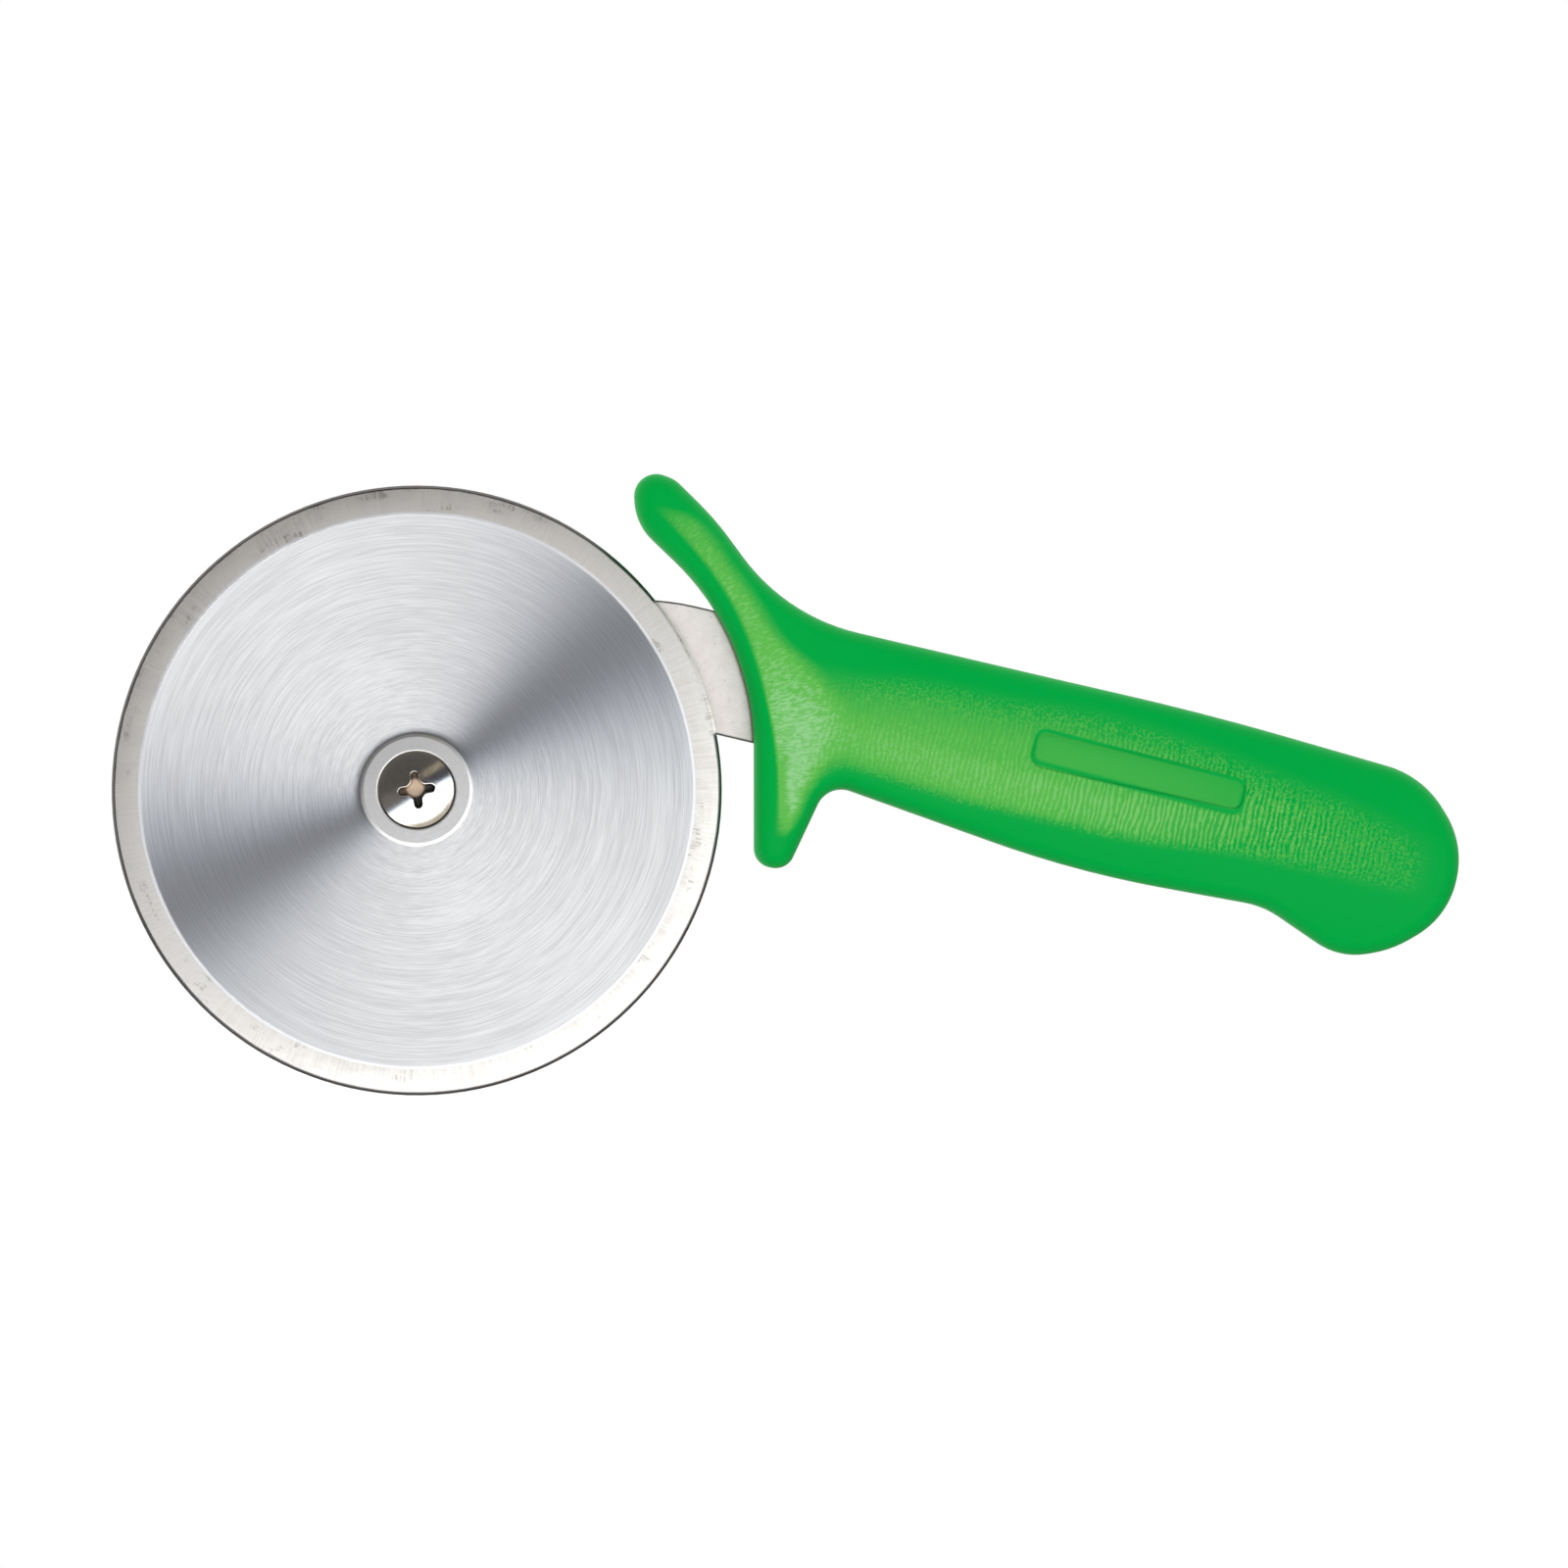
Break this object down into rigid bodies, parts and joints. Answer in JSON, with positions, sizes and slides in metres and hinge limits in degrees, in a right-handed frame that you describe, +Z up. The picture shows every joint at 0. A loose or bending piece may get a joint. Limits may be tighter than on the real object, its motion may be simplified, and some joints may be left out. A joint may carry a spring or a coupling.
{
  "type": "pizza cutter wheel",
  "caption": "Hand-held rolling cutter: a bevelled steel disc that spins on a flanged axle bushing, on a plate arm moulded into a grip with a thumb rest and a finger guard.",
  "frame": {"origin": "on the axle's centre line, at the middle of the blade's thickness", "axes": "+X along the grip towards its butt, +Y along the axle towards the nut, +Z up as the tool is used, with the blade's edge lowest"},
  "size_m": [0.2228, 0.0195, 0.1114],
  "materials": {
    "handle_plastic": "satin green moulding with fine grain on its flanks and smooth rims",
    "arm_steel": "pale satin stamped plate",
    "blade_steel": "circular brushed faces, radially ground bevels",
    "bushing_steel": "fine matt turned face with a bright chamfer",
    "screw_steel": "polished domed head",
    "fastener_steel": "plain stainless",
    "nylon": "natural nylon"
  },
  "bodies": {
    "body": {"handle": "handle_plastic", "arm": "arm_steel", "axle_bushing": "bushing_steel", "axle_screw": "screw_steel", "front_washer": "nylon", "rear_washer": "nylon", "nut_washer": "fastener_steel", "lock_nut": "fastener_steel", "nut_insert": "nylon"},
    "wheel": {"blade": "blade_steel"}
  },
  "joints": [
    {"name": "blade_spin", "type": "hinge", "parent": "body", "child": "wheel", "pos_m": [0, 0, 0], "axis": [0, 1, 0], "continuous": true}
  ]
}
